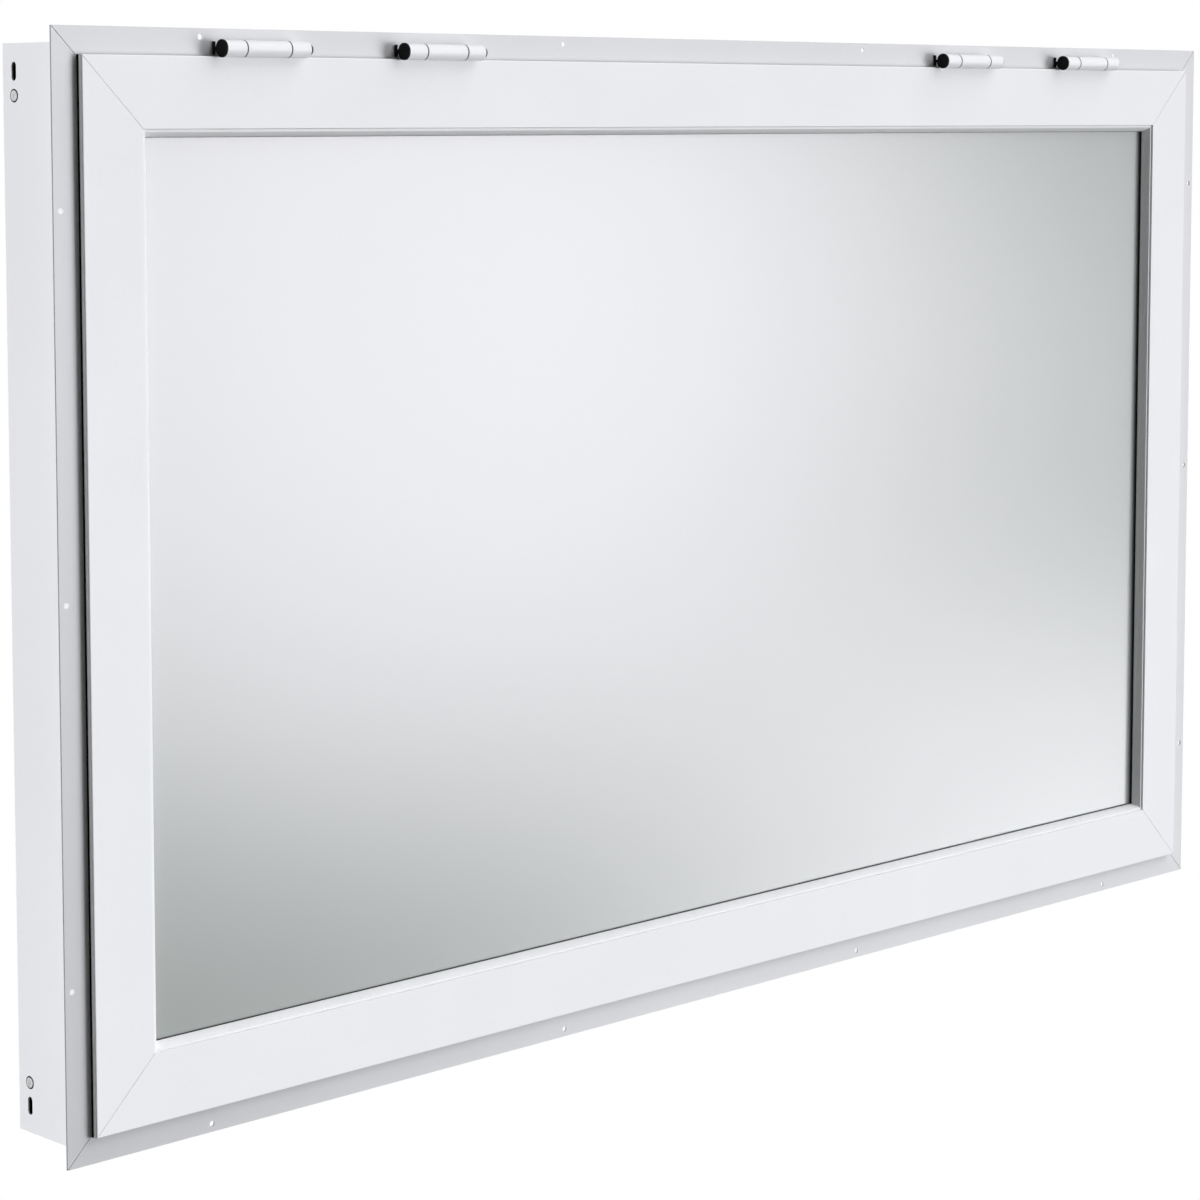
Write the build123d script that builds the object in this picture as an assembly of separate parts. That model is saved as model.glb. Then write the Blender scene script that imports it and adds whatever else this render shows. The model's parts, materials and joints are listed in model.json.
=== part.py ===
import os
from build123d import *

# Top-hung concession window: a flanged box frame with an awning door on four barrel hinges.
# Frame: x to the right, y into the wall, z up, millimetres.
# The origin is on the back face of the bottom flange, at mid-width, on the bottom screw line.

# wall box and flange
BOX_W = 1524.0
BOX_H = 914.4
BOX_DEPTH = 86.4
FLANGE_OUT = 13.2
FLANGE_T = 1.6
WALL_T = 2.0
FRAME_IN = 44.0
FLANGE_MITRE_GAP = 0.6
FLANGE_MITRE_DEPTH = 1.1

# screw holes in the flange
HOLE_R = 2.6
HOLE_INSET = 7.1
HOLE_END = 149.2
HOLES_ACROSS = 4
HOLES_DOWN = 3

# slots in the jambs near the back edge
SLOT_W = 6.4
SLOT_L = 15.5
SLOT_END = 23.0
SLOT_BACK = 15.6

# awning door
DOOR_INSET_X = 24.5
DOOR_INSET_Z = 23.0
DOOR_PROUD = 7.1
FACE_W = 60.5
LIP_DEPTH = 4.2
LIP_T = 2.0
EDGE_R = 1.2
INNER_EDGE_R = 0.5
CHAMBER_START = 28.0
CHAMBER_BACK = 30.0
DOOR_MITRE_GAP = 0.4
DOOR_MITRE_DEPTH = 1.0

# glass, gasket and beads
GLASS_T = 6.0
GLASS_SETBACK = 12.4
GASKET_T = 1.2
GASKET_FRONT = 2.0
GASKET_SIDE = 0.5
GASKET_SHOW = 0.3
BEAD_W = 6.8
BEAD_GROOVE = 0.2
BEAD_DROP = 1.7
BEAD_SEAT = 3.2
BEAD_LAND = 2.4
BEAD_MID_IN = 5.0
BEAD_MID_DEPTH = 5.6

# weather seal on the frame under the door's lip
SEAL_START = 0.0
SEAL_W = 8.0
SEAL_GAP = 0.3
SEAL_EDGE = 0.7

# barrel hinges
HINGE_END = 208.6
HINGE_STEP = 200.2
BARREL_R = 7.2
BARREL_L = 90.0
MIDDLE_L = 46.0
KNUCKLE_GAP = 1.4
KNUCKLE_EDGE = 0.5
AXIS_PROUD = 11.8
AXIS_DOWN = 16.6
NECK_T = 3.4
FOOT_T = 2.0
FOOT_UP = 6.0
FOOT_DOWN = 5.0
DOOR_NECK_T = 2.4
PIN_R = 2.5
FRAME_BORE_FIT = 0.02
DOOR_BORE_FIT = 0.05
CAP_T = 2.0
CAP_EDGE = 0.4
PIN_CAP_R = 4.4
PIN_CAP_T = 3.5

# places that follow from the sizes above
FLANGE_W = BOX_W + 2 * FLANGE_OUT
FLANGE_H = BOX_H + 2 * FLANGE_OUT
Z_LOW = -HOLE_INSET
Z_HIGH = Z_LOW + FLANGE_H
Z_MID = Z_LOW + FLANGE_H / 2
Y_FLANGE = -FLANGE_T
Y_FACE = Y_FLANGE - DOOR_PROUD
Y_LIP = Y_FACE + LIP_DEPTH
Y_GLASS = Y_FACE + GLASS_SETBACK
Y_BEAD = Y_GLASS - GASKET_FRONT
Y_FIN = Y_GLASS + GLASS_T + GASKET_T
Y_AXIS = Y_FLANGE - AXIS_PROUD
Z_AXIS = Z_HIGH - AXIS_DOWN
DOOR_W = FLANGE_W - 2 * DOOR_INSET_X
DOOR_H = FLANGE_H - 2 * DOOR_INSET_Z
Z_DOOR_TOP = Z_HIGH - DOOR_INSET_Z
GASKET_IN = FACE_W + BEAD_W + GASKET_SHOW
GASKET_OUT = FACE_W + GASKET_SIDE
GLASS_EDGE = GASKET_OUT + GASKET_T
SEAL_END = SEAL_START + SEAL_W
HOLE_STEP_X = (FLANGE_W - 2 * HOLE_END) / (HOLES_ACROSS - 1)
HOLE_STEP_Z = (FLANGE_H - 2 * HOLE_END) / (HOLES_DOWN - 1)
HINGE_OUTER = FLANGE_W / 2 - HINGE_END
HINGE_INNER = HINGE_OUTER - HINGE_STEP
HINGE_X = (-HINGE_OUTER, -HINGE_INNER, HINGE_INNER, HINGE_OUTER)

# section plane: first direction is the inset from the outer edge (up), second is the depth (y)
SECTION = Plane(origin=(0, 0, 0), x_dir=(0, 0, 1), z_dir=(-1, 0, 0))


def section_box(in0, in1, y0, y1):
    """Rectangle in a section, from one inset to another and one depth to another."""
    return Pos((in0 + in1) / 2, (y0 + y1) / 2) * Rectangle(in1 - in0, y1 - y0)


def round_corner(section, inset, depth, radius):
    """Round the section's corner nearest to a point."""
    spot = Vector(inset, depth, 0)
    corner = min(section.vertices(), key=lambda v: (Vector(v) - spot).length)
    return fillet(corner, radius)


def wedge(length, reach):
    """Prism whose ends slope at 45 degrees, as deep as any member."""
    half = length / 2
    outline = Polyline((-half, 0), (half, 0), (half - reach, reach), (-half + reach, reach), close=True)
    return extrude(Plane.XZ * make_face(outline), amount=200, both=True)


def mitred(section, length, reach, front, gap, depth):
    """Straight member along x with mitred ends, and half of a fine open line at each mitre of its front."""
    bar = extrude(SECTION * section, amount=length / 2, both=True)
    member = bar & wedge(length, reach)
    if gap > 0:
        skin = span(-length / 2 - 1, length / 2 + 1, front - 1, front + depth, -1, reach + 1)
        member -= skin - wedge(length - gap * 2 ** 0.5, reach)
    return member


def put(member, side, width, height):
    """Turn a member onto one side of a rectangle that is centred on the window."""
    low = Z_MID - height / 2
    if side == "bottom":
        return Pos(0, 0, low) * member
    if side == "top":
        return Pos(0, 0, low + height) * Rot(0, 180, 0) * member
    if side == "left":
        return Pos(-width / 2, 0, Z_MID) * Rot(0, 90, 0) * member
    return Pos(width / 2, 0, Z_MID) * Rot(0, -90, 0) * member


def four_sides(section, width, height, reach, front=0.0, gap=0.0, depth=0.0):
    """The four mitred members of a rectangle, by side."""
    members = {}
    for side in ("top", "bottom", "left", "right"):
        length = width if side in ("top", "bottom") else height
        member = mitred(section, length, reach, front, gap, depth)
        members[side] = put(member, side, width, height)
    return members


def along_y(radius, x, z):
    """Hole through the flange."""
    return Pos(x, Y_FLANGE / 2, z) * Rot(90, 0, 0) * Cylinder(radius, 6 * FLANGE_T)


def along_x(radius, x0, x1):
    """Cylinder on the hinge line."""
    return Pos((x0 + x1) / 2, Y_AXIS, Z_AXIS) * Rot(0, 90, 0) * Cylinder(radius, x1 - x0)


def span(x0, x1, y0, y1, z0, z1):
    """Block between two corners."""
    return Pos((x0 + x1) / 2, (y0 + y1) / 2, (z0 + z1) / 2) * Box(x1 - x0, y1 - y0, z1 - z0)


# box frame: flange and front plate with a hollow chamber behind it, as deep as the box
frame_section = section_box(0, FRAME_IN, Y_FLANGE, 0)
frame_section += section_box(FLANGE_OUT, FRAME_IN, Y_FLANGE, BOX_DEPTH)
frame_section -= section_box(FLANGE_OUT + WALL_T, FRAME_IN - WALL_T, 0, BOX_DEPTH - WALL_T)
frame = four_sides(
    frame_section, FLANGE_W, FLANGE_H, FRAME_IN, Y_FLANGE, FLANGE_MITRE_GAP, FLANGE_MITRE_DEPTH)

for number in range(HOLES_ACROSS):
    x = -FLANGE_W / 2 + HOLE_END + number * HOLE_STEP_X
    frame["bottom"] -= along_y(HOLE_R, x, Z_LOW + HOLE_INSET)
    frame["top"] -= along_y(HOLE_R, x, Z_HIGH - HOLE_INSET)

slot_section = Plane.YZ * Rot(0, 0, 90) * SlotOverall(SLOT_L, SLOT_W)
slot_cutter = extrude(slot_section, amount=3 * WALL_T, both=True)
for side, sign in (("left", -1), ("right", 1)):
    for number in range(HOLES_DOWN):
        z = Z_LOW + HOLE_END + number * HOLE_STEP_Z
        frame[side] -= along_y(HOLE_R, sign * (FLANGE_W / 2 - HOLE_INSET), z)
    for end in (-1, 1):
        z = Z_MID + end * (BOX_H / 2 - SLOT_END)
        frame[side] -= Pos(sign * BOX_W / 2, BOX_DEPTH - SLOT_BACK, z) * slot_cutter

# weather seal strips with rounded front edges
seal_section = section_box(SEAL_START, SEAL_END, Y_LIP + SEAL_GAP, Y_FLANGE)
for inset in (SEAL_START, SEAL_END):
    seal_section = round_corner(seal_section, inset, Y_LIP + SEAL_GAP, SEAL_EDGE)
seal = four_sides(seal_section, DOOR_W, DOOR_H, SEAL_END)

# door members: face plate with a lip, hollow rear chamber and a fin behind the glass
door_section = section_box(0, FACE_W, Y_FACE, Y_FACE + LIP_T)
door_section += section_box(0, LIP_T, Y_FACE, Y_LIP)
door_section += section_box(CHAMBER_START, FACE_W, Y_FACE, CHAMBER_BACK)
door_section -= section_box(CHAMBER_START + WALL_T, FACE_W - WALL_T, Y_FACE + LIP_T, CHAMBER_BACK - WALL_T)
door_section += section_box(FACE_W - WALL_T, GASKET_IN - 0.5, Y_FIN, Y_FIN + WALL_T)
door_section = round_corner(door_section, 0, Y_FACE, EDGE_R)
door_section = round_corner(door_section, FACE_W, Y_FACE, INNER_EDGE_R)
door = four_sides(door_section, DOOR_W, DOOR_H, GASKET_IN, Y_FACE, DOOR_MITRE_GAP, DOOR_MITRE_DEPTH)

# glazing beads: a narrow land behind the door's face, then a convex flank that runs back to the gasket
bead_seat = (FACE_W, Y_FACE + BEAD_SEAT)
bead_nose = (FACE_W + BEAD_GROOVE, Y_FACE + BEAD_DROP)
bead_brow = (FACE_W + BEAD_LAND, Y_FACE + BEAD_DROP)
bead_belly = (FACE_W + BEAD_MID_IN, Y_FACE + BEAD_MID_DEPTH)
bead_toe = (FACE_W + BEAD_W, Y_BEAD)
bead_heel = (FACE_W, Y_BEAD)
bead_outline = Polyline(bead_seat, bead_nose, bead_brow)
bead_outline += ThreePointArc(bead_brow, bead_belly, bead_toe)
bead_outline += Polyline(bead_toe, bead_heel, bead_seat)
bead = four_sides(make_face(bead_outline), DOOR_W, DOOR_H, FACE_W + BEAD_W)

# pane, and the gasket strips wrapped around its edge
glass_w = DOOR_W - 2 * GLASS_EDGE
glass_h = DOOR_H - 2 * GLASS_EDGE
glass = Pos(0, Y_GLASS + GLASS_T / 2, Z_MID) * Box(glass_w, GLASS_T, glass_h)
gasket_section = section_box(GASKET_OUT, GASKET_IN, Y_BEAD, Y_FIN)
gasket_section -= section_box(GLASS_EDGE, GASKET_IN + 1, Y_GLASS, Y_GLASS + GLASS_T)
gasket = four_sides(gasket_section, DOOR_W, DOOR_H, GASKET_IN)


def barrel(x0, x1, bore, eased):
    """One hinge knuckle with a bore for the pin; the last of its rims, counted from the right, are eased."""
    knuckle = along_x(BARREL_R, x0, x1)
    if eased > 0:
        rims = knuckle.edges().filter_by(GeomType.CIRCLE).sort_by(Axis.X)
        knuckle = chamfer(rims[-eased:], KNUCKLE_EDGE)
    return knuckle - along_x(PIN_R + bore, x0 - 1, x1 + 1)


def frame_web(x0, x1):
    """Neck and foot that carry a knuckle on the flange."""
    neck = span(x0, x1, Y_AXIS, Y_FLANGE - FOOT_T, Z_AXIS - NECK_T / 2, Z_AXIS + NECK_T / 2)
    foot = span(x0, x1, Y_FLANGE - FOOT_T, Y_FLANGE, Z_AXIS - FOOT_DOWN, Z_AXIS + FOOT_UP)
    return neck + foot


def hinge(x):
    """The five pieces of one barrel hinge that is centred at x."""
    left = x - BARREL_L / 2
    right = x + BARREL_L / 2
    mid_left = x - MIDDLE_L / 2
    mid_right = x + MIDDLE_L / 2

    foot = span(left, right, Y_FLANGE - FOOT_T, Y_FLANGE, Z_AXIS - FOOT_DOWN, Z_AXIS + FOOT_UP)
    frame_leaf = foot
    for x0, x1, eased in ((left, mid_left - KNUCKLE_GAP, 0), (mid_right + KNUCKLE_GAP, right, 1)):
        web = frame_web(x0, x1) - along_x(BARREL_R - 1, x0 - 1, x1 + 1)
        frame_leaf += web
        frame_leaf += barrel(x0, x1, FRAME_BORE_FIT, eased)

    neck_back = Y_LIP - 0.4
    door_neck = span(mid_left, mid_right, neck_back - DOOR_NECK_T, neck_back, Z_DOOR_TOP, Z_AXIS - 1.5)
    door_neck -= along_x(BARREL_R - 1, mid_left - 1, mid_right + 1)
    door_leaf = barrel(mid_left, mid_right, DOOR_BORE_FIT, 0) + door_neck

    pin = along_x(PIN_R, left, right)

    cap_disc = along_x(BARREL_R + CAP_EDGE, left - CAP_T, left)
    cap_rim = cap_disc.edges().filter_by(GeomType.CIRCLE).sort_by(Axis.X)[0]
    end_cap = chamfer(cap_rim, CAP_EDGE) + frame_web(left - CAP_T, left)
    pin_cap = along_x(PIN_CAP_R, right, right + PIN_CAP_T)
    return {
        "frame_leaf": frame_leaf,
        "door_leaf": door_leaf,
        "pin": pin,
        "end_cap": end_cap,
        "pin_cap": pin_cap,
    }


pieces = {
    "frame_head": frame["top"],
    "frame_sill": frame["bottom"],
    "frame_jamb_left": frame["left"],
    "frame_jamb_right": frame["right"],
    "door_top_rail": door["top"],
    "door_bottom_rail": door["bottom"],
    "door_stile_left": door["left"],
    "door_stile_right": door["right"],
    "glass_pane": glass,
}
for side in ("top", "bottom", "left", "right"):
    pieces[f"weather_seal_{side}"] = seal[side]
    pieces[f"glazing_bead_{side}"] = bead[side]
    pieces[f"glazing_gasket_{side}"] = gasket[side]
for number, x in enumerate(HINGE_X, start=1):
    for piece, shape in hinge(x).items():
        pieces[f"hinge_{number}_{piece}"] = shape

os.makedirs("parts", exist_ok=True)
for name, shape in pieces.items():
    export_step(shape, f"parts/{name}.step")
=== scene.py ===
import json
import math

import bmesh
import bpy
from mathutils import Matrix, Vector


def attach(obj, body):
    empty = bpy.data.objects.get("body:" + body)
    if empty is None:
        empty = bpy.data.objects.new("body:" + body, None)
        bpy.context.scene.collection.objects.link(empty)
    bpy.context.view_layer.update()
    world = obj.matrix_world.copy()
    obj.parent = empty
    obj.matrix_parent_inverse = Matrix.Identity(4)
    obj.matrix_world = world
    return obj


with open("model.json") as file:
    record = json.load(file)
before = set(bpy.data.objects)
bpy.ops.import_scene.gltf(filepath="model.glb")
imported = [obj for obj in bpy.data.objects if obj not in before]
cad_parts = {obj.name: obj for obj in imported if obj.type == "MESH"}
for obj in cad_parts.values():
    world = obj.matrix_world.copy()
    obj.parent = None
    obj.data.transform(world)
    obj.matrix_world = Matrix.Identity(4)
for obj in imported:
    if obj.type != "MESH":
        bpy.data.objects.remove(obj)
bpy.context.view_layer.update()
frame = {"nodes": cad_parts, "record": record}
nodes = frame["nodes"]

# Top-hung concession window: white powder-coated frame and awning door, frosted glass,
# black seals and hinge caps.
# Lengths are in metres; x runs to the right seen from outside, y into the wall, z up.

# camera
CAMERA_PLACE = (-2.2902, -2.1895, 0.8623)
CAMERA_YAW = math.radians(44.21)
CAMERA_PITCH = math.radians(5.15)
CAMERA_LENS = 97.76
CAMERA_SENSOR_W = 36.0
CAMERA_SHIFT_Y = -0.16

# studio
FLOOR_Z = -2.6
FLOOR_SIZE = 9.0
FLOOR_BOUNCE = 0.30
FLOOR_SEEN = 0.62
FLOOR_GLOW = 0.63
AMBIENT = 0.02
LAMP_TINT = (0.955, 0.964, 1.0)
LAMP_FAR = 3.0

# lamps: name, direction to the lamp, spread in degrees, power, and whether gloss shows it
LAMPS = (
    ("key_right", (0.629, -0.776, -0.037), 20.6, 1.85, True),
    ("shoulder_right", (0.785, -0.617, -0.07), 6.0, 0.05, True),
    ("low_right", (0.766, -0.589, -0.257), 13.5, 0.57, True),
    ("upper_right", (0.62, -0.36, 0.70), 60.0, 2.70, False),
    ("left_fill", (-0.985, -0.13, 0.10), 30.0, 0.33, True),
    ("left_back", (-0.72, 0.68, 0.10), 40.0, 4.00, False),
)

# outline of the wall flange, and how near its rim a face counts as the cut edge
FLANGE_HALF_W = 0.7752
FLANGE_HALF_H = 0.4704
FLANGE_MID_Z = 0.4633
CUT_EDGE_DEPTH = 0.00005

# depth up to which a face of the frame counts as the flange
FLANGE_BACK = 0.0002

# painted shade: the inside of the frame's hollows is coloured near black
# hollow of the frame members: inset from the flange's rim, and depth behind the flange
HOLLOW_INSET = (0.0145, 0.0425)
HOLLOW_DEPTH = (-0.0005, 0.0855)

# corner of the flange towards which painted shade darkens the flange's colour
PAINTED_SHADE_CORNER = (-0.775, 0.0, -0.007)
PAINTED_SHADE_REACH = 0.72
PAINTED_SHADE_DARKEST_TONE = 0.78

# screws in the sides of the box, each on a dark ring that is painted shade round its head
BOX_SIDE_X = 0.762
SIDE_SCREW_Y = 0.0708
SIDE_SCREW_Z = (0.0491, 0.8775)
WASHER_R = 0.0056
WASHER_T = 0.0002
SCREW_HEAD_R = 0.0044
SCREW_HEAD_T = 0.0006
CROSS_REACH = 0.0023
CROSS_W = 0.0009
CROSS_DEPTH = 0.0005
CROSS_TAPER = 0.72
SCREW_LIFT = 0.8 * WASHER_T
SCREW_SEGMENTS = 36
WASHER_SEGMENTS = 40
SHARP_ANGLE = math.radians(35)
WELD = 1e-7

# rings of a screw head and a washer: radius, and rise from the ring before,
# as shares of the piece's radius and thickness
SCREW_RINGS = ((0.62, 0.0), (0.82, -0.12), (0.95, -0.24), (1.0, -0.30), (1.0, -0.34))
WASHER_RINGS = ((0.55, 0.0), (0.93, 0.0), (1.0, 0.4), (0.96, 0.4), (0.90, 0.2), (0.55, 0.0))


def colour(red, green, blue):
    """Opaque linear colour."""
    return (red, green, blue, 1.0)


WHITE_DOOR = colour(0.855, 0.855, 0.855)
WHITE_FRAME = colour(0.725, 0.725, 0.727)
CUT_EDGE_GREY = colour(0.19, 0.19, 0.195)
# painted shade that darkens the gaps between the hinge's knuckles
KNUCKLE_GAP_PAINTED_SHADE = colour(0.33, 0.33, 0.335)
# near-black painted shade for the inside of the frame's hollows
HOLLOW_PAINTED_SHADE = colour(0.012, 0.012, 0.012)
# black seal, made darker than the other rubber as painted shade in the gap under the door's lip
SEAL_PAINTED_SHADE_BLACK = colour(0.003, 0.003, 0.0033)
BLACK_RUBBER = colour(0.014, 0.014, 0.0145)
BLACK_PLASTIC = colour(0.004, 0.004, 0.0045)
PIN_STEEL = colour(0.42, 0.43, 0.44)
SCREW_ZINC = colour(0.66, 0.665, 0.67)
PANE_TINT = colour(0.249, 0.275, 0.253)
PANE_GLINT = colour(1.0, 0.947, 0.984)

# pane: gloss, fine etching and faint haze, and the tilt over which a low view dulls it
PANE_IOR = 1.52
PANE_SPECULAR = 0.417
PANE_SATIN = (0.21, 0.24)
PANE_GRAZING = (0.50, 0.72)
PANE_DULLED = 0.75
PANE_HAZE = (0.97, 1.03)
HAZE_SCALE = 3.0
ETCH_SCALE = 2400.0

# powder coat: texture scales per metre, and the tone, sheen or height that each texture gives
NOISE_BAND = (0.3, 0.7)
CLOUD_SCALE = 5.0
CLOUD_TONE = (0.988, 1.010)
SPECK_SCALE = 260.0
SPECK_TONE = (0.994, 1.006)
SPECK_SHEEN = (-0.04, 0.04)
SMEAR_SCALE = 18.0
SMEAR_BAND = (0.35, 0.7)
SMEAR_SHEEN = (-0.03, 0.04)
PEEL_SCALE = 900.0
PEEL_HEIGHT = 0.0004
NIB_SCALE = 95.0
NIB_BAND = (0.10, 0.03)
NIB_HEIGHT = 0.6
RUBBED_COAT_TONE = 0.90
RUBBED_COAT_SHEEN = 0.18

# moulded grain: scuffs, grain and rubbed edges
SCUFF_SCALE = 60.0
SCUFF_BAND = (0.35, 0.75)
SCUFF_TONE = (0.85, 1.35)
SCUFF_GLOSS = (-0.12, 0.12)
GRAIN_HEIGHT = 0.0003
RUBBED_GRAIN_TONE = 1.6
RUBBED_GRAIN_GLOSS = 0.12

# masks: how far a face turns from the piece's axes, patches on its edges, end faces and saw marks
ROUNDED_FACING = (0.995, 0.86)
PATCH_BAND = (0.42, 0.66)
END_FACING = 0.95
SAW_SCALE = 700.0

# sockets of a Mix node that blends colours
MIX_FIRST = 6
MIX_SECOND = 7
MIX_RESULT = 2


def add(tree, kind, **values):
    """New node in a tree with some of its settings or input values."""
    node = tree.nodes.new(kind)
    for name, value in values.items():
        if name in node.inputs:
            node.inputs[name].default_value = value
        else:
            setattr(node, name, value)
    return node


def map_range(tree, source, from_low, from_high, to_low, to_high):
    """Value moved from one range to another; returns its output."""
    node = add(tree, "ShaderNodeMapRange")
    node.inputs["From Min"].default_value = from_low
    node.inputs["From Max"].default_value = from_high
    node.inputs["To Min"].default_value = to_low
    node.inputs["To Max"].default_value = to_high
    tree.links.new(source, node.inputs["Value"])
    return node.outputs["Result"]


def maths(tree, operation, first, second):
    """One sum of two outputs or numbers; returns its output."""
    node = add(tree, "ShaderNodeMath", operation=operation)
    for socket, value in zip(node.inputs, (first, second)):
        if isinstance(value, (int, float)):
            socket.default_value = value
        else:
            tree.links.new(value, socket)
    return node.outputs["Value"]


def noise(tree, place, scale, detail, roughness=0.55):
    """Noise on the piece's own coordinates; returns its output."""
    texture = add(tree, "ShaderNodeTexNoise", Scale=scale, Detail=detail, Roughness=roughness)
    tree.links.new(place, texture.inputs["Vector"])
    return texture.outputs["Fac"]


def scaled_colour(tree, tint, factor):
    """Colour times a value; returns its output."""
    node = add(tree, "ShaderNodeVectorMath", operation="SCALE")
    tree.links.new(tint, node.inputs[0])
    tree.links.new(factor, node.inputs["Scale"])
    return node.outputs["Vector"]


def group_tree(name, inputs, outputs):
    """Shader node group with named sockets, and its input and output nodes."""
    tree = bpy.data.node_groups.new(name, "ShaderNodeTree")
    for label, kind, value in inputs:
        socket = tree.interface.new_socket(label, in_out="INPUT", socket_type=kind)
        socket.default_value = value
    for label, kind in outputs:
        tree.interface.new_socket(label, in_out="OUTPUT", socket_type=kind)
    return tree, tree.nodes.new("NodeGroupInput"), tree.nodes.new("NodeGroupOutput")


SURFACE_OUTPUTS = [
    ("Colour", "NodeSocketColor"), ("Roughness", "NodeSocketFloat"), ("Normal", "NodeSocketVector")]


def rubbed_edge_group():
    """Patchy mask on rounded edges, where the surface faces between the piece's own axes."""
    tree, given, out = group_tree(
        "rubbed_edge", [("Patch Scale", "NodeSocketFloat", 45.0)], [("Mask", "NodeSocketFloat")])
    place = add(tree, "ShaderNodeTexCoord")
    facing = add(tree, "ShaderNodeVectorMath", operation="ABSOLUTE")
    tree.links.new(place.outputs["Normal"], facing.inputs[0])
    parts = add(tree, "ShaderNodeSeparateXYZ")
    tree.links.new(facing.outputs["Vector"], parts.inputs["Vector"])
    straightest = maths(tree, "MAXIMUM", parts.outputs["X"], parts.outputs["Y"])
    straightest = maths(tree, "MAXIMUM", straightest, parts.outputs["Z"])
    rounded = map_range(tree, straightest, *ROUNDED_FACING, 0.0, 1.0)
    patch = add(tree, "ShaderNodeTexNoise", Detail=4.0, Roughness=0.6)
    tree.links.new(place.outputs["Object"], patch.inputs["Vector"])
    tree.links.new(given.outputs["Patch Scale"], patch.inputs["Scale"])
    patches = map_range(tree, patch.outputs["Fac"], *PATCH_BAND, 0.0, 1.0)
    tree.links.new(maths(tree, "MULTIPLY", rounded, patches), out.inputs["Mask"])
    return tree


def rim_inset(tree, place):
    """Distance in from the flange's rim, and depth behind the flange; returns both outputs."""
    parts = add(tree, "ShaderNodeSeparateXYZ")
    tree.links.new(place, parts.inputs["Vector"])
    across = maths(tree, "ABSOLUTE", parts.outputs["X"], 0.0)
    upward = maths(tree, "ABSOLUTE", maths(tree, "SUBTRACT", parts.outputs["Z"], FLANGE_MID_Z), 0.0)
    from_side = maths(tree, "SUBTRACT", FLANGE_HALF_W, across)
    from_end = maths(tree, "SUBTRACT", FLANGE_HALF_H, upward)
    return maths(tree, "MINIMUM", from_side, from_end), parts.outputs["Y"]


def between(tree, value, limits):
    """One where a value lies between two limits; returns its output."""
    above = maths(tree, "GREATER_THAN", value, limits[0])
    below = maths(tree, "LESS_THAN", value, limits[1])
    return maths(tree, "MULTIPLY", above, below)


def cut_edge_group():
    """Mask on the flange's sawn rim."""
    tree, _, out = group_tree("cut_edge", [], [("Mask", "NodeSocketFloat")])
    inset, _ = rim_inset(tree, add(tree, "ShaderNodeTexCoord").outputs["Object"])
    tree.links.new(maths(tree, "LESS_THAN", inset, CUT_EDGE_DEPTH), out.inputs["Mask"])
    return tree


def hollow_shade_group():
    """Mask on the inside of the hollow frame members, which gets near-black painted shade."""
    tree, _, out = group_tree("hollow_painted_shade", [], [("Mask", "NodeSocketFloat")])
    inset, depth = rim_inset(tree, add(tree, "ShaderNodeTexCoord").outputs["Object"])
    in_walls = between(tree, inset, HOLLOW_INSET)
    in_depth = between(tree, depth, HOLLOW_DEPTH)
    tree.links.new(maths(tree, "MULTIPLY", in_walls, in_depth), out.inputs["Mask"])
    return tree


def painted_shade_corner_group():
    """Painted shade: the flange's tone, a little darker towards its lower left corner."""
    tree, _, out = group_tree("painted_shade_corner", [], [("Tone", "NodeSocketFloat")])
    place = add(tree, "ShaderNodeTexCoord").outputs["Object"]
    reach = add(tree, "ShaderNodeVectorMath", operation="DISTANCE")
    tree.links.new(place, reach.inputs[0])
    reach.inputs[1].default_value = PAINTED_SHADE_CORNER
    painted_shade_and_gloss_loss = map_range(tree, reach.outputs["Value"], 0.0, PAINTED_SHADE_REACH, 1.0 - PAINTED_SHADE_DARKEST_TONE, 0.0)
    _, depth = rim_inset(tree, place)
    on_flange = maths(tree, "LESS_THAN", depth, FLANGE_BACK)
    painted_shade_on_flange = maths(tree, "MULTIPLY", painted_shade_and_gloss_loss, on_flange)
    tree.links.new(maths(tree, "SUBTRACT", 1.0, painted_shade_on_flange), out.inputs["Tone"])
    return tree


def end_face_group():
    """Mask on faces looking along the hinge line, where painted shade darkens the knuckle gaps."""
    tree, _, out = group_tree("end_face", [], [("Mask", "NodeSocketFloat")])
    place = add(tree, "ShaderNodeTexCoord")
    parts = add(tree, "ShaderNodeSeparateXYZ")
    tree.links.new(place.outputs["Normal"], parts.inputs["Vector"])
    along = maths(tree, "ABSOLUTE", parts.outputs["X"], 0.0)
    tree.links.new(maths(tree, "GREATER_THAN", along, END_FACING), out.inputs["Mask"])
    return tree


RUBBED_EDGE = rubbed_edge_group()
CUT_EDGE = cut_edge_group()
HOLLOW_SHADE_MASK = hollow_shade_group()
PAINTED_SHADE_FLANGE = painted_shade_corner_group()
END_FACE = end_face_group()


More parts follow.
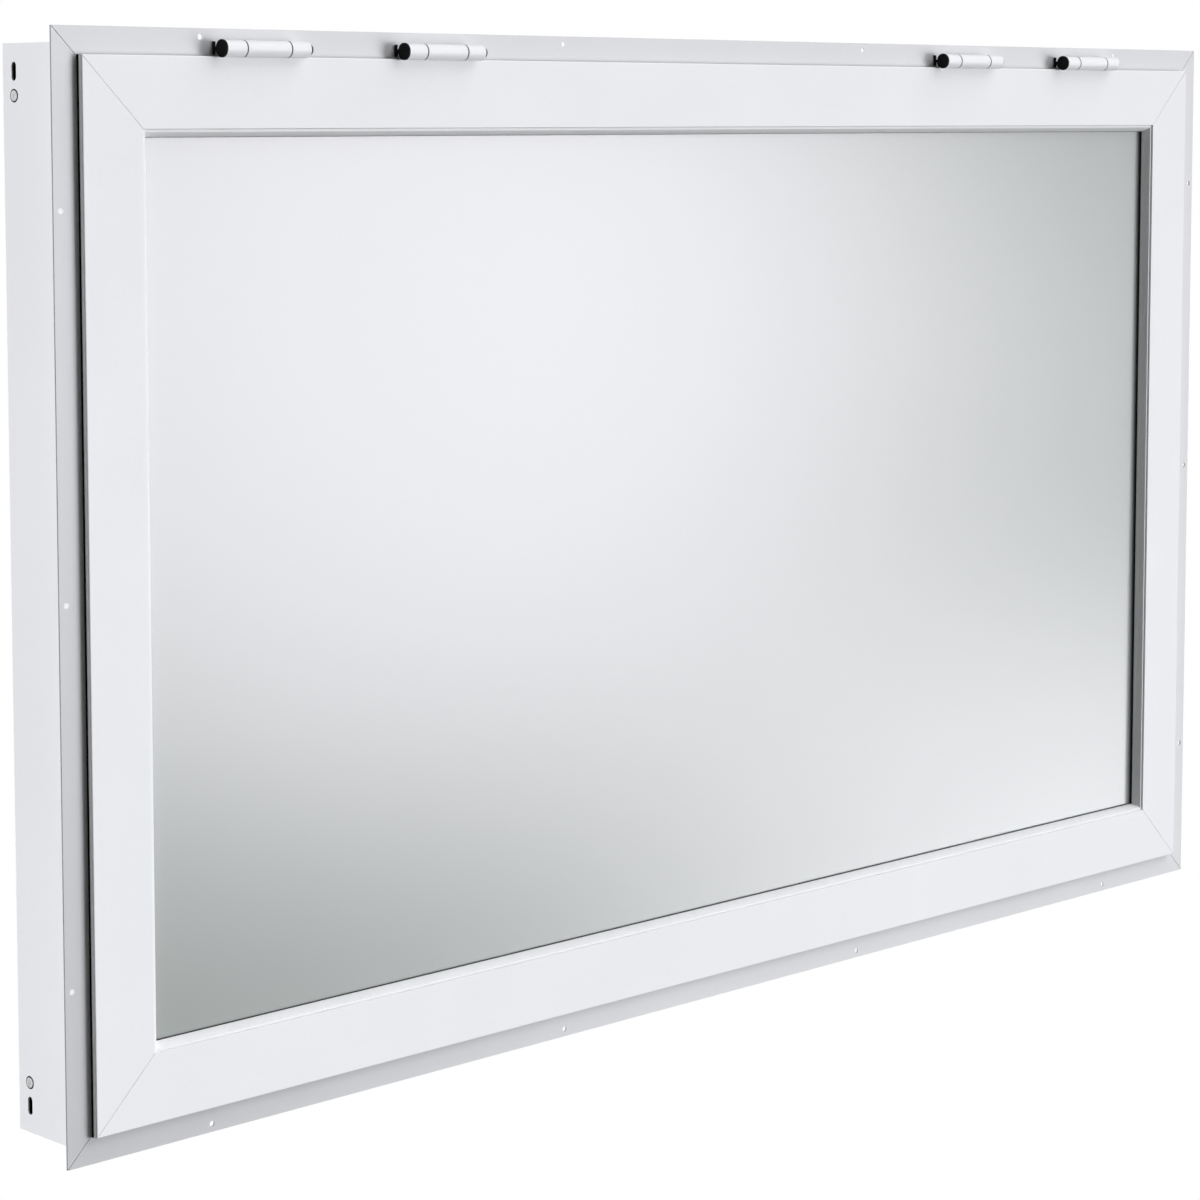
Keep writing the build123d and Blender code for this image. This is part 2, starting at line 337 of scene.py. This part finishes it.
def coat_group():
    """Powder coat: fine orange peel, a few nibs, faint cloudy tone, uneven sheen and rubbed edges."""
    tree, given, out = group_tree(
        "powder_coat",
        [("Colour", "NodeSocketColor", WHITE_DOOR), ("Sheen Level", "NodeSocketFloat", 0.6),
         ("Peel Depth", "NodeSocketFloat", 0.06), ("Edge Rub", "NodeSocketFloat", 0.5)],
        SURFACE_OUTPUTS)
    place = add(tree, "ShaderNodeTexCoord").outputs["Object"]
    cloud = noise(tree, place, CLOUD_SCALE, detail=3.0)
    speck = noise(tree, place, SPECK_SCALE, detail=2.0, roughness=0.6)
    smear = noise(tree, place, SMEAR_SCALE, detail=4.0, roughness=0.6)
    peel = noise(tree, place, PEEL_SCALE, detail=2.0, roughness=0.5)
    nib_spots = add(tree, "ShaderNodeTexVoronoi", Scale=NIB_SCALE)
    tree.links.new(place, nib_spots.inputs["Vector"])
    nibs = map_range(tree, nib_spots.outputs["Distance"], *NIB_BAND, 0.0, 1.0)

    rub = add(tree, "ShaderNodeGroup", node_tree=RUBBED_EDGE)
    rubbed = maths(tree, "MULTIPLY", rub.outputs["Mask"], given.outputs["Edge Rub"])

    tone = map_range(tree, cloud, *NOISE_BAND, *CLOUD_TONE)
    fine_tone = map_range(tree, speck, *NOISE_BAND, *SPECK_TONE)
    rub_tone = map_range(tree, rubbed, 0.0, 1.0, 1.0, RUBBED_COAT_TONE)
    tone = maths(tree, "MULTIPLY", maths(tree, "MULTIPLY", tone, fine_tone), rub_tone)
    tree.links.new(scaled_colour(tree, given.outputs["Colour"], tone), out.inputs["Colour"])

    speck_sheen = map_range(tree, speck, *NOISE_BAND, *SPECK_SHEEN)
    smear_sheen = map_range(tree, smear, *SMEAR_BAND, *SMEAR_SHEEN)
    sheen = maths(tree, "ADD", given.outputs["Sheen Level"], speck_sheen)
    sheen = maths(tree, "ADD", sheen, smear_sheen)
    sheen = maths(tree, "SUBTRACT", sheen, maths(tree, "MULTIPLY", rubbed, RUBBED_COAT_SHEEN))
    tree.links.new(sheen, out.inputs["Roughness"])

    height = maths(tree, "ADD", peel, maths(tree, "MULTIPLY", nibs, NIB_HEIGHT))
    bump = add(tree, "ShaderNodeBump", Distance=PEEL_HEIGHT)
    tree.links.new(given.outputs["Peel Depth"], bump.inputs["Strength"])
    tree.links.new(height, bump.inputs["Height"])
    tree.links.new(bump.outputs["Normal"], out.inputs["Normal"])
    return tree


def grain_group():
    """Moulded rubber, plastic or plain metal: fine grain, lighter scuffs, rubbed edges and uneven gloss."""
    tree, given, out = group_tree(
        "moulded_grain",
        [("Colour", "NodeSocketColor", BLACK_RUBBER), ("Gloss Level", "NodeSocketFloat", 0.6),
         ("Grain Scale", "NodeSocketFloat", 1200.0), ("Grain Depth", "NodeSocketFloat", 0.25),
         ("Edge Rub", "NodeSocketFloat", 0.5)],
        SURFACE_OUTPUTS)
    place = add(tree, "ShaderNodeTexCoord").outputs["Object"]
    grain = add(tree, "ShaderNodeTexNoise", Detail=3.0, Roughness=0.6)
    tree.links.new(place, grain.inputs["Vector"])
    tree.links.new(given.outputs["Grain Scale"], grain.inputs["Scale"])
    scuff = noise(tree, place, SCUFF_SCALE, detail=4.0, roughness=0.65)

    rub = add(tree, "ShaderNodeGroup", node_tree=RUBBED_EDGE)
    rubbed = maths(tree, "MULTIPLY", rub.outputs["Mask"], given.outputs["Edge Rub"])

    tone = map_range(tree, scuff, *SCUFF_BAND, *SCUFF_TONE)
    rub_tone = map_range(tree, rubbed, 0.0, 1.0, 1.0, RUBBED_GRAIN_TONE)
    tone = maths(tree, "MULTIPLY", tone, rub_tone)
    tree.links.new(scaled_colour(tree, given.outputs["Colour"], tone), out.inputs["Colour"])

    scuff_gloss = map_range(tree, scuff, 0.0, 1.0, *SCUFF_GLOSS)
    gloss = maths(tree, "ADD", given.outputs["Gloss Level"], scuff_gloss)
    gloss = maths(tree, "SUBTRACT", gloss, maths(tree, "MULTIPLY", rubbed, RUBBED_GRAIN_GLOSS))
    tree.links.new(gloss, out.inputs["Roughness"])

    bump = add(tree, "ShaderNodeBump", Distance=GRAIN_HEIGHT)
    tree.links.new(given.outputs["Grain Depth"], bump.inputs["Strength"])
    tree.links.new(grain.outputs["Fac"], bump.inputs["Height"])
    tree.links.new(bump.outputs["Normal"], out.inputs["Normal"])
    return tree


COAT = coat_group()
GRAIN = grain_group()


def surface(name, group, values, specular=0.5, metallic=0.0):
    """Material whose colour, roughness and normal come from a shared group."""
    material = bpy.data.materials.new(name)
    material.use_nodes = True
    tree = material.node_tree
    shader = tree.nodes["Principled BSDF"]
    shader.inputs["Specular IOR Level"].default_value = specular
    shader.inputs["Metallic"].default_value = metallic
    effect = add(tree, "ShaderNodeGroup", node_tree=group)
    for label, value in values.items():
        effect.inputs[label].default_value = value
    tree.links.new(effect.outputs["Colour"], shader.inputs["Base Color"])
    tree.links.new(effect.outputs["Roughness"], shader.inputs["Roughness"])
    tree.links.new(effect.outputs["Normal"], shader.inputs["Normal"])
    return material


def flat_colour_where(material, mask_group, flat_colour, least=0.8):
    """Blend a flat colour in where a mask group says so; fine saw marks thin it to its least share."""
    tree = material.node_tree
    shader = tree.nodes["Principled BSDF"]
    coat = shader.inputs["Base Color"].links[0].from_socket
    mask_node = add(tree, "ShaderNodeGroup", node_tree=mask_group)
    place = add(tree, "ShaderNodeTexCoord").outputs["Object"]
    saw_marks = map_range(tree, noise(tree, place, SAW_SCALE, detail=2.0), *NOISE_BAND, least, 1.0)
    blend = add(tree, "ShaderNodeMix", data_type="RGBA")
    blend.inputs[MIX_SECOND].default_value = flat_colour
    tree.links.new(maths(tree, "MULTIPLY", mask_node.outputs["Mask"], saw_marks), blend.inputs["Factor"])
    tree.links.new(coat, blend.inputs[MIX_FIRST])
    tree.links.new(blend.outputs[MIX_RESULT], shader.inputs["Base Color"])


def toned_by(material, tone_group):
    """Scale a material's colour by a group's tone."""
    tree = material.node_tree
    shader = tree.nodes["Principled BSDF"]
    coat = shader.inputs["Base Color"].links[0].from_socket
    tone = add(tree, "ShaderNodeGroup", node_tree=tone_group)
    tree.links.new(scaled_colour(tree, coat, tone.outputs["Tone"]), shader.inputs["Base Color"])


def frosted_pane():
    """Acid-etched glass: pale green body and fine satin grain, duller where it is seen at a low angle."""
    material = bpy.data.materials.new("frosted_pane")
    material.use_nodes = True
    tree = material.node_tree
    shader = tree.nodes["Principled BSDF"]
    shader.inputs["IOR"].default_value = PANE_IOR
    shader.inputs["Transmission Weight"].default_value = 0.0
    shader.inputs["Specular IOR Level"].default_value = PANE_SPECULAR
    shader.inputs["Specular Tint"].default_value = PANE_GLINT
    place = add(tree, "ShaderNodeTexCoord").outputs["Object"]
    etch = noise(tree, place, ETCH_SCALE, detail=2.0)
    haze = noise(tree, place, HAZE_SCALE, detail=2.0)
    tone = add(tree, "ShaderNodeMix", data_type="RGBA")
    for socket, share in zip((MIX_FIRST, MIX_SECOND), PANE_HAZE):
        tone.inputs[socket].default_value = colour(*[share * level for level in PANE_TINT[:3]])
    tree.links.new(haze, tone.inputs["Factor"])
    tree.links.new(tone.outputs[MIX_RESULT], shader.inputs["Base Color"])
    satin = map_range(tree, etch, 0.0, 1.0, *PANE_SATIN)
    tilt = add(tree, "ShaderNodeLayerWeight", Blend=0.5).outputs["Facing"]
    painted_shade_and_gloss_loss = map_range(tree, tilt, *PANE_GRAZING, 0.0, PANE_DULLED)
    tree.links.new(maths(tree, "MAXIMUM", satin, painted_shade_and_gloss_loss), shader.inputs["Roughness"])
    return material


coat_frame = surface(
    "powder_coat_frame", COAT,
    {"Colour": WHITE_FRAME, "Sheen Level": 0.64, "Peel Depth": 0.06, "Edge Rub": 0.0}, specular=0.2)
# painted shade: the flange's colour darkens towards its lower left corner
toned_by(coat_frame, PAINTED_SHADE_FLANGE)
flat_colour_where(coat_frame, CUT_EDGE, CUT_EDGE_GREY)
# painted shade: the inside of the frame's hollows is coloured near black
flat_colour_where(coat_frame, HOLLOW_SHADE_MASK, HOLLOW_PAINTED_SHADE, least=1.0)
coat_door = surface(
    "powder_coat_door", COAT,
    {"Colour": WHITE_DOOR, "Sheen Level": 0.62, "Peel Depth": 0.05, "Edge Rub": 0.35}, specular=0.2)
coat_hinge = surface(
    "powder_coat_hinge", COAT,
    {"Colour": WHITE_DOOR, "Sheen Level": 0.50, "Peel Depth": 0.03, "Edge Rub": 0.0}, specular=0.3)
# painted shade: the hinge's end faces are darkened so the gaps between knuckles read dark
flat_colour_where(coat_hinge, END_FACE, KNUCKLE_GAP_PAINTED_SHADE)
rubber = surface("black_rubber", GRAIN, {"Colour": BLACK_RUBBER, "Gloss Level": 0.66}, specular=0.08)
# the weather seals get a darker copy of the black rubber, as painted shade in the gap under the door's lip
shade_painted_seal_rubber = surface(
    "black_seal_rubber_painted_shade", GRAIN, {"Colour": SEAL_PAINTED_SHADE_BLACK, "Gloss Level": 0.75}, specular=0.02)
plastic = surface(
    "black_cap_plastic", GRAIN,
    {"Colour": BLACK_PLASTIC, "Gloss Level": 0.5, "Grain Scale": 700.0}, specular=0.08)
steel = surface("pin_steel", GRAIN, {"Colour": PIN_STEEL, "Gloss Level": 0.35}, metallic=1.0)
zinc = surface(
    "screw_zinc", GRAIN,
    {"Colour": SCREW_ZINC, "Gloss Level": 0.85, "Grain Scale": 900.0, "Grain Depth": 0.15, "Edge Rub": 0.2},
    metallic=1.0)
pane = frosted_pane()

SLOT_MATERIAL = {
    "white_frame": coat_frame,
    "white_door": coat_door,
    "white_hinge": coat_hinge,
    "black_rubber": rubber,
    "black_plastic": plastic,
    "steel_pin": steel,
    "frosted_glass": pane,
}
for part in frame["record"]["subparts"]:
    for slot in nodes[part["node"]].material_slots:
        slot.material = SLOT_MATERIAL[part["material_slot"]]
# the seals take the darker rubber that paints the shade in the gap
for side in ("top", "bottom", "left", "right"):
    for slot in nodes[f"weather_seal_{side}"].material_slots:
        slot.material = shade_painted_seal_rubber


def step_ring(mesh, edges, grow, rise):
    """Extrude a ring of edges, scale it about the middle and lift it; returns the new ring."""
    made = bmesh.ops.extrude_edge_only(mesh, edges=edges)["geom"]
    points = [item for item in made if isinstance(item, bmesh.types.BMVert)]
    bmesh.ops.scale(mesh, verts=points, vec=(grow, grow, 1.0))
    bmesh.ops.translate(mesh, verts=points, vec=(0.0, 0.0, rise))
    new_edges = [item for item in made if isinstance(item, bmesh.types.BMEdge)]
    return [edge for edge in new_edges if all(point in points for point in edge.verts)]


def step_rings(mesh, edges, rings, thickness):
    """Step a ring of edges through a list of radii and rises; returns the last ring."""
    for (radius_before, _), (radius_after, rise) in zip(rings, rings[1:]):
        edges = step_ring(mesh, edges, radius_after / radius_before, rise * thickness)
    return edges


def cross_outline(mesh, reach, width, height):
    """Closed plus-shaped loop of edges at one height."""
    half = width / 2
    arm = [(reach, -half), (reach, half), (half, half)]
    corners = []
    for turn in range(4):
        spin = Matrix.Rotation(turn * math.pi / 2, 2)
        corners += [mesh.verts.new((*(spin @ Vector(spot)), height)) for spot in arm]
    return [mesh.edges.new((corners[i], corners[(i + 1) % len(corners)])) for i in range(len(corners))]


def screw_head():
    """Low domed head with a cross recess, standing on z = 0."""
    mesh = bmesh.new()
    top_radius = SCREW_RINGS[0][0] * SCREW_HEAD_R
    rim = bmesh.ops.create_circle(mesh, segments=SCREW_SEGMENTS, radius=top_radius)["verts"]
    bmesh.ops.translate(mesh, verts=rim, vec=(0.0, 0.0, SCREW_HEAD_T))
    top_ring = list(mesh.edges)
    cross = cross_outline(mesh, CROSS_REACH, CROSS_W, SCREW_HEAD_T)
    bmesh.ops.triangle_fill(mesh, edges=top_ring + cross, use_beauty=True)
    pocket = step_ring(mesh, cross, CROSS_TAPER, -CROSS_DEPTH)
    bmesh.ops.triangle_fill(mesh, edges=pocket, use_beauty=True)
    foot = step_rings(mesh, top_ring, SCREW_RINGS, SCREW_HEAD_T)
    bmesh.ops.triangle_fill(mesh, edges=foot, use_beauty=True)
    return mesh


def shade_washer():
    """Flat ring under a screw head with a rounded outer edge, standing on z = 0."""
    mesh = bmesh.new()
    bmesh.ops.create_circle(mesh, segments=WASHER_SEGMENTS, radius=WASHER_RINGS[0][0] * WASHER_R)
    bore_below = list(mesh.edges)
    bore_above = step_rings(mesh, bore_below, WASHER_RINGS, WASHER_T)
    bmesh.ops.bridge_loops(mesh, edges=bore_below + bore_above)
    return mesh


def fit_to_box_side(mesh, name, side, height, lift, material):
    """Turn a piece that stands on z = 0 onto the left or right side of the box."""
    bmesh.ops.remove_doubles(mesh, verts=mesh.verts, dist=WELD)
    bmesh.ops.translate(mesh, verts=mesh.verts, vec=(0.0, 0.0, lift))
    turn = Matrix.Rotation(side * math.pi / 2, 3, "Y")
    bmesh.ops.rotate(mesh, verts=mesh.verts, cent=(0, 0, 0), matrix=turn)
    bmesh.ops.translate(mesh, verts=mesh.verts, vec=(side * BOX_SIDE_X, SIDE_SCREW_Y, height))
    bmesh.ops.recalc_face_normals(mesh, faces=mesh.faces)
    data = bpy.data.meshes.new(name)
    mesh.to_mesh(data)
    mesh.free()
    data.materials.append(material)
    data.set_sharp_from_angle(angle=SHARP_ANGLE)
    piece = bpy.data.objects.new(name, data)
    bpy.context.scene.collection.objects.link(piece)
    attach(piece, "frame")


for side_name, side in (("left", -1), ("right", 1)):
    for end_name, height in zip(("bottom", "top"), SIDE_SCREW_Z):
        spot = f"{side_name}_{end_name}"
        # black rubber ring under each head: painted shade round the screw head
        fit_to_box_side(shade_washer(), f"side_shade_washer_{spot}", side, height, 0.0, rubber)
        fit_to_box_side(screw_head(), f"side_screw_{spot}", side, height, SCREW_LIFT, zinc)


def soft_key(name, towards, spread, power, glints):
    """Broad, far-off lamp that lights the whole window evenly, with or without its own glint in gloss."""
    lamp = bpy.data.lights.new(name, "SUN")
    lamp.angle = math.radians(spread)
    lamp.energy = power
    lamp.color = LAMP_TINT
    holder = bpy.data.objects.new(name, lamp)
    bpy.context.scene.collection.objects.link(holder)
    holder.rotation_euler = Vector(towards).to_track_quat("Z", "Y").to_euler()
    holder.location = LAMP_FAR * Vector(towards)
    holder.visible_glossy = glints


for lamp_values in LAMPS:
    soft_key(*lamp_values)


def seen_rays(tree):
    """One for rays from the camera, gloss or glass, and nought for the rays that only carry light."""
    path = add(tree, "ShaderNodeLightPath")
    seen = maths(tree, "MAXIMUM", path.outputs["Is Camera Ray"], path.outputs["Is Transmission Ray"])
    return maths(tree, "MAXIMUM", seen, path.outputs["Is Glossy Ray"])


def studio_world():
    """White backdrop that casts only a little light."""
    world = bpy.data.worlds.new("studio")
    bpy.context.scene.world = world
    world.use_nodes = True
    tree = world.node_tree
    tree.nodes.clear()
    air = add(tree, "ShaderNodeBackground", Color=colour(1.0, 1.0, 1.0))
    tree.links.new(map_range(tree, seen_rays(tree), 0.0, 1.0, AMBIENT, 1.0), air.inputs["Strength"])
    out = add(tree, "ShaderNodeOutputWorld")
    tree.links.new(air.outputs["Background"], out.inputs["Surface"])


def floor_material():
    """Pale floor that reads as the white backdrop where the lamps reach it, and keeps shadows."""
    material = bpy.data.materials.new("studio_floor")
    material.use_nodes = True
    tree = material.node_tree
    tree.nodes.clear()
    bounce = add(tree, "ShaderNodeBsdfDiffuse", Color=colour(FLOOR_BOUNCE, FLOOR_BOUNCE, FLOOR_BOUNCE))
    matt = add(tree, "ShaderNodeBsdfDiffuse", Color=colour(FLOOR_SEEN, FLOOR_SEEN, FLOOR_SEEN))
    glow = add(tree, "ShaderNodeEmission", Color=colour(1.0, 1.0, 1.0), Strength=FLOOR_GLOW)
    both = add(tree, "ShaderNodeAddShader")
    tree.links.new(matt.outputs["BSDF"], both.inputs[0])
    tree.links.new(glow.outputs["Emission"], both.inputs[1])
    blend = add(tree, "ShaderNodeMixShader")
    tree.links.new(seen_rays(tree), blend.inputs["Fac"])
    tree.links.new(bounce.outputs["BSDF"], blend.inputs[1])
    tree.links.new(both.outputs["Shader"], blend.inputs[2])
    out = add(tree, "ShaderNodeOutputMaterial")
    tree.links.new(blend.outputs["Shader"], out.inputs["Surface"])
    return material


studio_world()

sheet = bmesh.new()
bmesh.ops.create_grid(sheet, x_segments=1, y_segments=1, size=FLOOR_SIZE / 2)
bmesh.ops.translate(sheet, verts=sheet.verts, vec=(0, 0, FLOOR_Z))
floor_mesh = bpy.data.meshes.new("floor")
sheet.to_mesh(floor_mesh)
sheet.free()
floor = bpy.data.objects.new("floor", floor_mesh)
floor_mesh.materials.append(floor_material())
bpy.context.scene.collection.objects.link(floor)

lens = bpy.data.cameras.new("camera")
lens.lens = CAMERA_LENS
lens.sensor_width = CAMERA_SENSOR_W
lens.shift_y = CAMERA_SHIFT_Y
camera = bpy.data.objects.new("camera", lens)
bpy.context.scene.collection.objects.link(camera)
camera.location = CAMERA_PLACE
camera.rotation_euler = (math.pi / 2 - CAMERA_PITCH, 0.0, -CAMERA_YAW)
bpy.context.scene.camera = camera
bpy.context.scene.view_settings.view_transform = "Standard"
